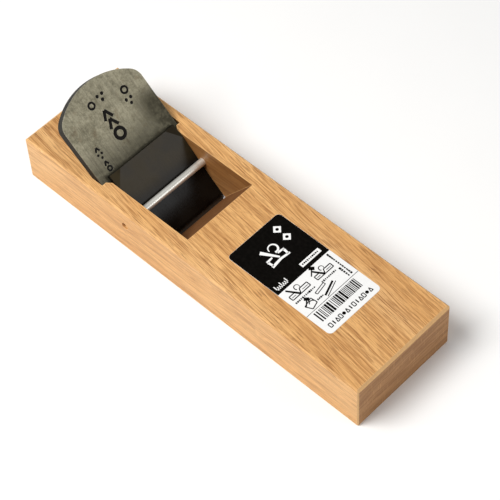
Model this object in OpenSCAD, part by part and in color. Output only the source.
// Japanese pull plane: a hardwood block, a tapered laminated blade wedged in grooves in
// the cheeks, and a laminated chip breaker held down on the blade by a cross pin.
// Row frame: origin at the centre of the sole, +X towards the long front end of the
// block, +Y across it, +Z up. The blade leans back, towards -X. Millimetres and degrees.

/* [Block] */
// Length of the block
block_l = 278; // [270:1:300]
// Width of the block
block_w = 80; // [76:0.5:90]
// Height of the block
block_h = 36.5; // [34:0.5:40]
// Leg of the chamfer along the two long top edges
side_chamfer = 1; // [0.5:0.5:5]
// Leg of the chamfer across the two ends of the top
end_chamfer = 1.7; // [0.5:0.1:3]
// Leg of the small chamfer around the sole and up the four corners
small_chamfer = 0.8; // [0.3:0.1:1.5]

/* [Throat] */
// Slope of the bed that the blade lies on, measured from the sole
bed_angle = 38.66; // [37:0.01:41]
// From the rear end to where the blade's front face leaves the top
face_from_rear = 62.9; // [58:0.1:70]
// From the rear end to the front edge of the throat
throat_from_rear = 131.1; // [126:0.1:140]
// Width of the throat between the cheeks
cheek_gap = 56; // [55.8:0.1:58]
// Width across the two blade grooves
groove_gap = 67.4; // [67.2:0.1:70]
// Width of the flat land in each groove that holds the blade's front face
groove_land = 3.2; // [2:0.1:4]
// How far the corner between groove and cheek is cut back, square to the blade
groove_relief = 2.1; // [0.5:0.1:3]
// Opening of the mouth ahead of the blade's front face, along the sole
mouth_gap = 0.4; // [0.4:0.1:3]
// Height of the steep lip at the front of the mouth
lip_h = 4; // [2:0.5:8]
// Forward lean of that lip over its height
lip_lean = 1.2; // [0:0.1:3]

/* [Blade] */
// Width of the blade
blade_w = 65; // [60:0.5:66]
// Length of the blade that stands out of the top, along its slope
blade_out = 55; // [50:1:62]
// Thickness of the blade where it leaves the top
blade_t = 5.8; // [5:0.1:7]
// Taper of the blade, thicker towards the head
blade_taper = 2.24; // [1.5:0.01:3]
// Height of the cutting edge above the sole at rest
edge_lift = 0.4; // [0.4:0.1:2]
// Grinding angle of the bevel
bevel_angle = 28; // [24:1:32]
// Radius of the domed head
head_r = 47; // [42:1:60]
// Radius that blends the dome into the sides
head_corner_r = 10; // [6:0.5:12]
// Width of the cutting edge between the trimmed corners
edge_w = 56; // [54:0.5:60]
// Height of the trimmed lower corners
trim_l = 10; // [6:0.5:14]
// Thickness of the hard steel welded to the front face
steel_t = 1.2; // [0.8:0.1:1.8]
// Height of the hard steel up from the cutting edge
steel_l = 48; // [40:1:52]
// Depth of the hollow ground in the steel
hollow_depth = 0.35; // [0.2:0.05:0.5]
// Width of the flat border left around the hollow
hollow_border = 4; // [3:0.5:6]
// Sideways set of the blade in its grooves
blade_shift = -1; // [-1.1:0.1:1.1]
// Depth of the punched marks on the blade
mark_depth = 0.4; // [0.2:0.05:0.6]

/* [Chip breaker] */
// Width of the chip breaker
breaker_w = 55; // [52:0.5:55.5]
// How far its top edge stands above the block's top, along the slope
breaker_out = 2; // [0:0.5:4]
// From the cutting edge back up to the chip breaker's edge
breaker_setback = 1.8; // [1.4:0.1:4]
// Thickness at its top edge
breaker_t = 3.6; // [2.8:0.1:3.8]
// Thickness at its lower edge, before the bevel
breaker_tip_t = 1.8; // [1.4:0.1:2.2]
// Height of the bevel at its lower edge
breaker_bevel_l = 3; // [2:0.5:5]
// Gap that the bent corners keep between its top edge and the blade
ear_gap = 1.8; // [0.8:0.1:2]
// Height of each bent corner, down the slope
ear_l = 10; // [6:0.5:14]
// Width of each bent corner, along the top edge
ear_w = 8; // [5:0.5:12]
// Thickness of the hard steel on its blade side
breaker_steel_t = 0.7; // [0.5:0.1:1]
// Height of that steel up from the lower edge
breaker_steel_l = 20; // [14:1:26]

/* [Pin] */
// Diameter of the retaining pin
pin_d = 5; // [4:0.5:6]
// From the chip breaker's top edge down to the pin
pin_down = 29; // [26:0.5:32]
// How far each end of the pin is recessed in the block's side
pin_recess = 2; // [0.5:0.5:4]
// Leg of the chamfer on each end of the pin
pin_chamfer = 0.5; // [0.2:0.1:0.8]

/* [Label] */
// Length of the paper label
label_l = 82.8; // [60:0.1:95]
// Width of the paper label
label_w = 44.6; // [30:0.1:50]
// Thickness of the paper label
label_t = 0.15; // [0.1:0.01:0.3]
// Corner radius of the paper label
label_r = 3; // [1:0.5:5]
// Centre of the label ahead of the block's centre
label_x = 59.9; // [50:0.1:70]
// Centre of the label to the far side of the block's centre
label_y = 0.6; // [-5:0.1:5]

/* [Fits] */
// Gap between the blade's back and the bed
bed_gap = 0.06; // [0.04:0.01:0.1]
// Gap between the blade's front face and the groove land at rest
groove_clear = 0.2; // [0.15:0.01:0.3]
// Gap between the chip breaker's edge and the blade
seat_gap = 0.06; // [0.04:0.01:0.1]
// Gap between the chip breaker's front face and the pin at rest
pin_gap = 0.3; // [0.25:0.01:0.4]

/* [Hidden] */
$fn = 96;
far = 400;                                  // longer than any dimension of the plane
over = 1;                                   // how far a cutter runs past a face

face_angle = bed_angle + blade_taper;       // slope of the blade's front face
face_x = face_from_rear - block_l / 2;      // where that face meets the top
throat_x = throat_from_rear - block_l / 2;  // front edge of the throat at the top
mouth_x = face_x + block_h / tan(face_angle) + mouth_gap;
edge_x = (block_h - edge_lift) / sin(face_angle);   // cutting edge, down the face

// thickness of the blade at x down its front face
function blade_t_at(x) = blade_t - x * tan(blade_taper);
// where the bevel meets the back of the blade
bevel_x = (edge_x * tan(bevel_angle) - blade_t) / (tan(bevel_angle) - tan(blade_taper));

breaker_l = edge_x - breaker_setback + breaker_out;
back_tilt = asin((ear_gap - seat_gap) / breaker_l);
front_tilt = back_tilt + atan((breaker_t - breaker_tip_t) / breaker_l);
breaker_land = 0.3;                         // blunt end of the chip breaker's edge
ear_angle = atan2(ear_w, ear_l);            // turn of the fold line from the slope
ear_reach = ear_w * cos(ear_angle);         // from the fold line out to the corner
ear_dip = atan(ear_gap / ear_reach);        // how steeply each corner is bent
ear_t = cos(ear_dip) * (breaker_t - seat_gap);      // its tip stops just clear of the blade

// a point x down the blade's front face and w out from it, as row [x, z]
function on_face(x, w) = [face_x + x * cos(face_angle) + w * sin(face_angle),
                          block_h - x * sin(face_angle) + w * cos(face_angle)];
// a point x down the chip breaker's front face and w out from it, as row [x, z]
function on_breaker(x, w) =
    on_face(x * cos(front_tilt) + (w + breaker_t) * sin(front_tilt) - breaker_out,
            ear_gap - x * sin(front_tilt) + (w + breaker_t) * cos(front_tilt));
pin_at = on_breaker(pin_down, pin_gap + pin_d / 2);

// ---- frames and shared cutters ----

// local X runs down the blade's front face, local Z stands out from it
module face_frame() {
    translate([face_x, 0, block_h]) rotate([0, face_angle, 0]) children();
}

// local X runs down the chip breaker's front face from its top edge
module breaker_frame() {
    face_frame() translate([-breaker_out, 0, ear_gap]) rotate([0, front_tilt, 0])
        translate([0, 0, breaker_t]) children();
}

// a profile drawn in [x, z], extruded across Y
module across(width) {
    rotate([90, 0, 0]) linear_extrude(width, center = true) children();
}

// a profile drawn in [y, z], extruded along X
module along(length) {
    rotate([90, 0, 90]) linear_extrude(length, center = true) children();
}

module both_sides() {
    children();
    mirror([0, 1, 0]) children();
}

// ---- block ----

// rectangle centred on x, standing on y = 0, with its own chamfer at foot and head
module chamfered_profile(width, height, head, foot) {
    polygon([[-width / 2 + foot, 0], [width / 2 - foot, 0], [width / 2, foot],
             [width / 2, height - head], [width / 2 - head, height],
             [head - width / 2, height], [-width / 2, height - head], [-width / 2, foot]]);
}

module block_blank() {
    intersection() {
        across(block_w) chamfered_profile(block_l, block_h, end_chamfer, small_chamfer);
        along(block_l) chamfered_profile(block_w, block_h, side_chamfer, small_chamfer);
        translate([0, -block_w / 2, 0]) linear_extrude(block_h)
            chamfered_profile(block_l, block_w, small_chamfer, small_chamfer);
    }
}

// everything in front of the bed's plane
module ahead_of_bed() {
    bed_at = on_face(0, -blade_t - bed_gap);
    translate([bed_at[0], 0, bed_at[1]]) rotate([0, bed_angle, 0])
        translate([-far / 2, -far / 2, 0]) cube([far, far, far]);
}

// space between the cheeks, from behind the blade to the sloped front wall
module throat_space() {
    slope = (throat_x - mouth_x - lip_lean) / (block_h - lip_h);
    across(cheek_gap)
        polygon([[mouth_x, -over], [mouth_x, 0], [mouth_x + lip_lean, lip_h],
                 [throat_x, block_h], [throat_x + over * slope, block_h + over],
                 [-block_l / 2, block_h + over], [-block_l / 2, -over]]);
}

// one blade groove in the +Y cheek, with its corner cut back towards the throat
module groove_space() {
    deep = blade_t_at(-blade_out);
    face_frame() translate([edge_x / 2, 0, 0]) along(2 * edge_x)
        polygon([[cheek_gap / 2 - over, -deep], [groove_gap / 2, -deep],
                 [groove_gap / 2, groove_clear], [groove_gap / 2 - groove_land, groove_clear],
                 [cheek_gap / 2, groove_clear + groove_relief],
                 [cheek_gap / 2 - over, groove_clear + groove_relief]]);
}

module block() {
    color("burlywood") difference() {
        block_blank();
        intersection() {
            ahead_of_bed();
            union() {
                throat_space();
                both_sides() groove_space();
            }
        }
        translate([pin_at[0], 0, pin_at[1]]) rotate([90, 0, 0])
            cylinder(h = block_w + 2 * over, d = pin_d, center = true);
    }
}

// ---- retaining pin ----

module retaining_pin() {
    half = block_w / 2 - pin_recess;
    r = pin_d / 2;
    color("gainsboro") translate([pin_at[0], 0, pin_at[1]]) rotate([90, 0, 0])
        rotate_extrude()
            polygon([[0, -half], [r - pin_chamfer, -half], [r, pin_chamfer - half],
                     [r, half - pin_chamfer], [r - pin_chamfer, half], [0, half]]);
}

// ---- label ----

module rounded_rectangle(length, width, r) {
    square([length - 2 * r, width], center = true);
    square([length, width - 2 * r], center = true);
    for (x = [-1, 1], y = [-1, 1])
        translate([x * (length / 2 - r), y * (width / 2 - r)]) circle(r);
}

module label() {
    color("white") translate([label_x, label_y, block_h]) linear_extrude(label_t)
        rounded_rectangle(label_l, label_w, label_r);
}

// ---- blade ----

// points of an arc about [x, y], its angle measured from -X towards +Y, without the last
function arc(x, y, r, from, to, steps) =
    [for (i = [0:steps - 1]) let (a = from + (to - from) * i / steps)
        [x - r * cos(a), y + r * sin(a)]];

// the blade seen square to its face: domed head, straight sides, trimmed lower corners
module blade_outline() {
    half = blade_w / 2;
    centre = head_r - blade_out;            // centre of the dome, down the face
    reach = head_r - head_corner_r;
    corner_y = half - head_corner_r;
    corner_x = centre - sqrt(reach * reach - corner_y * corner_y);
    join = atan2(corner_y, centre - corner_x);
    polygon(concat(
        [[edge_x - trim_l, -half], [edge_x, -edge_w / 2],
         [edge_x, edge_w / 2], [edge_x - trim_l, half]],
        arc(corner_x, corner_y, head_corner_r, 90, join, 12),
        arc(centre, 0, head_r, join, -join, 48),
        arc(corner_x, -corner_y, head_corner_r, -join, -90, 12),
        [[corner_x, -half]]));
}

// the whole forged blade, before it is told apart into iron and steel
module blade_blank() {
    head = -blade_out - over;
    intersection() {
        translate([0, 0, -2 * blade_t]) linear_extrude(2 * blade_t) blade_outline();
        across(blade_w + over)
            polygon([[head, 0], [edge_x, 0], [bevel_x, -blade_t_at(bevel_x)],
                     [head, -blade_t_at(head)]]);
    }
}

// the slab of hard steel on the front face, ending in a slanted weld line
module blade_steel_zone() {
    across(blade_w + 2 * over)
        polygon([[edge_x + over, over], [edge_x - steel_l - over, over],
                 [edge_x - steel_l, 0], [edge_x - steel_l + 4 * steel_t, -steel_t],
                 [edge_x + over, -steel_t]]);
}

// shallow hollow in the steel: square near the edge, round at the top
module blade_hollow() {
    width = edge_w - 2 * hollow_border;
    low = edge_x - hollow_border;
    high = edge_x - steel_l + hollow_border + width / 2;
    translate([0, 0, -hollow_depth]) linear_extrude(hollow_depth + over) {
        translate([high, -width / 2]) square([low - high, width]);
        intersection() {
            translate([high, 0]) circle(width / 2);
            translate([edge_x - steel_l, -width / 2]) square([steel_l / 2, width]);
        }
    }
}

// punched marks on the front face: [figure, down the face, across, size and stroke]
ring = 0;
chevron = 1;
dots = 2;
marks = [[ring, -41.8, -7.2, 5.6, 1.5], [dots, -43.1, 1.4, 6.6],
         [ring, -37.3, 17, 5.8, 1.5], [dots, -30.4, 15.9, 6.4],
         [chevron, -35, -2.3, 11.5, 2.2], [chevron, -29, -2.3, 11.5, 2.2],
         [ring, -18, -2.2, 9.2, 2.4], [chevron, -20.2, -21.5, 5.4, 1.4],
         [dots, -14.6, -21.5, 5], [chevron, -10.3, -21.5, 5.2, 1.4],
         [ring, -5, -21.5, 4.2, 1.3]];

module mark_ring(size, stroke) {
    difference() {
        circle(size / 2);
        circle(size / 2 - stroke);
    }
}

module mark_chevron(size, stroke) {
    for (side = [-1, 1]) rotate(side * 62) translate([0, -side * size / 3.4])
        square([stroke, size / 1.7], center = true);
}

module mark_dots(size) {
    for (turn = [0:120:240]) rotate(turn) translate([size / 3, 0]) circle(size / 5.5);
}

module blade_marks() {
    for (m = marks) translate([m[1], m[2], -mark_depth]) linear_extrude(2 * mark_depth) {
        if (m[0] == ring) mark_ring(m[3], m[4]);
        if (m[0] == chevron) mark_chevron(m[3], m[4]);
        if (m[0] == dots) mark_dots(m[3]);
    }
}

module in_blade_place() {
    translate([0, blade_shift, 0]) face_frame() children();
}

module blade_body() {
    color("dimgray") in_blade_place() difference() {
        blade_blank();
        blade_steel_zone();
        blade_marks();
    }
}

module blade_edge_steel() {
    color("slategray") in_blade_place() difference() {
        intersection() {
            blade_blank();
            blade_steel_zone();
        }
        blade_hollow();
    }
}

// ---- chip breaker ----

// side profile, with the blade side below
module breaker_profile() {
    polygon([[0, 0], [breaker_l - breaker_bevel_l, 0],
             [breaker_l, breaker_land - breaker_tip_t], [breaker_l, -breaker_tip_t],
             [0, -breaker_t]]);
}

// turned so that local +Y points out over the +Y bent corner and dips to the blade
module ear_frame() {
    translate([0, breaker_w / 2 - ear_w, 0]) rotate([0, 0, ear_angle]) rotate([-ear_dip, 0, 0])
        children();
}

module breaker_blank() {
    difference() {
        intersection() {
            translate([0, -breaker_w / 2, -2 * breaker_t])
                cube([breaker_l, breaker_w, 2 * breaker_t]);
            union() {
                across(breaker_w + over) breaker_profile();
                both_sides() ear_frame() translate([-far / 2, 0, -ear_t])
                    cube([far, far, ear_t]);
            }
        }
        both_sides() ear_frame() translate([-far / 2, 0, 0])
            cube([far, far, far]);
    }
}

module breaker_steel_zone() {
    back = atan((breaker_t - breaker_tip_t) / breaker_l);
    translate([breaker_l, 0, -breaker_tip_t]) rotate([0, -back, 0])
        translate([-breaker_steel_l, -far / 2, -over])
            cube([breaker_steel_l + over, far, breaker_steel_t + over]);
}

module chip_breaker_body() {
    color([0.1, 0.1, 0.1]) breaker_frame() difference() {
        breaker_blank();
        breaker_steel_zone();
    }
}

module chip_breaker_edge_steel() {
    color("silver") breaker_frame() intersection() {
        breaker_blank();
        breaker_steel_zone();
    }
}

block();
retaining_pin();
label();
blade_body();
blade_edge_steel();
chip_breaker_body();
chip_breaker_edge_steel();
